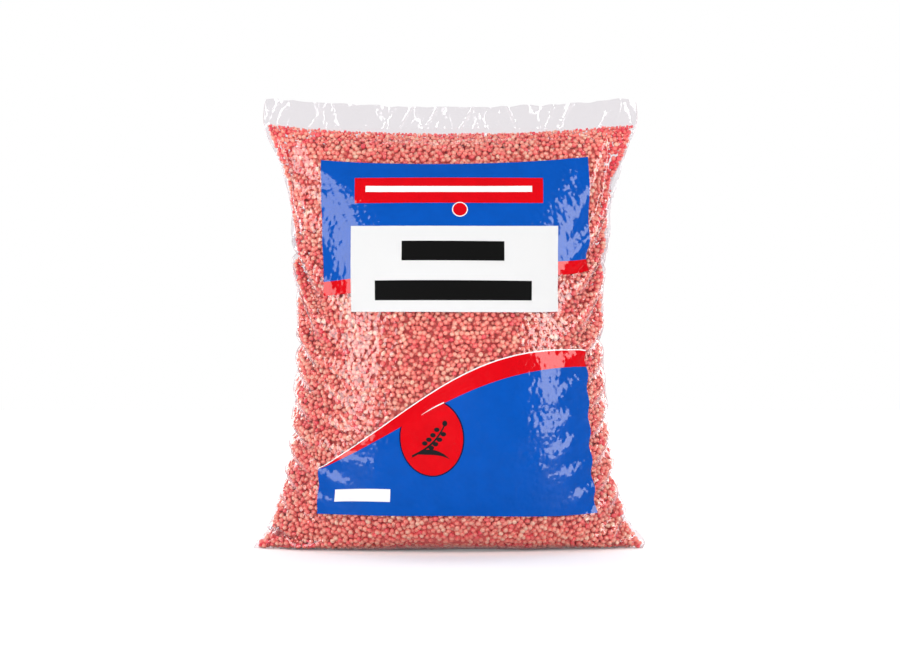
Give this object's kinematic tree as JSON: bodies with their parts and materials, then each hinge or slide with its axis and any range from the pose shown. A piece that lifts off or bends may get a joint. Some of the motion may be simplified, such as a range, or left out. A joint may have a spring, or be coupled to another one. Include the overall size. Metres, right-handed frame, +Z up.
{
  "type": "clear plastic sack of sorghum seed",
  "caption": "Standing clear film sack filled with pink dressed sorghum seed, with a printed front, a paper label and a flat skirt of film along its top.",
  "frame": {"origin": "on the floor, at the middle of the base", "axes": "+Z up, from the bottom weld to the skirt; +X across the sack's width; -Y out of the printed front"},
  "size_m": [0.386, 0.1782, 0.45],
  "materials": {
    "clear_film": "clear glossy polyethylene, printed blue, red and white on the front",
    "dressed_seed": "matt coral-pink seed dressing over pale grain",
    "label_paper": "matt white paper"
  },
  "bodies": {
    "root": {"film_sack": "clear_film", "seed_fill": "dressed_seed", "front_label": "label_paper"}
  },
  "joints": []
}
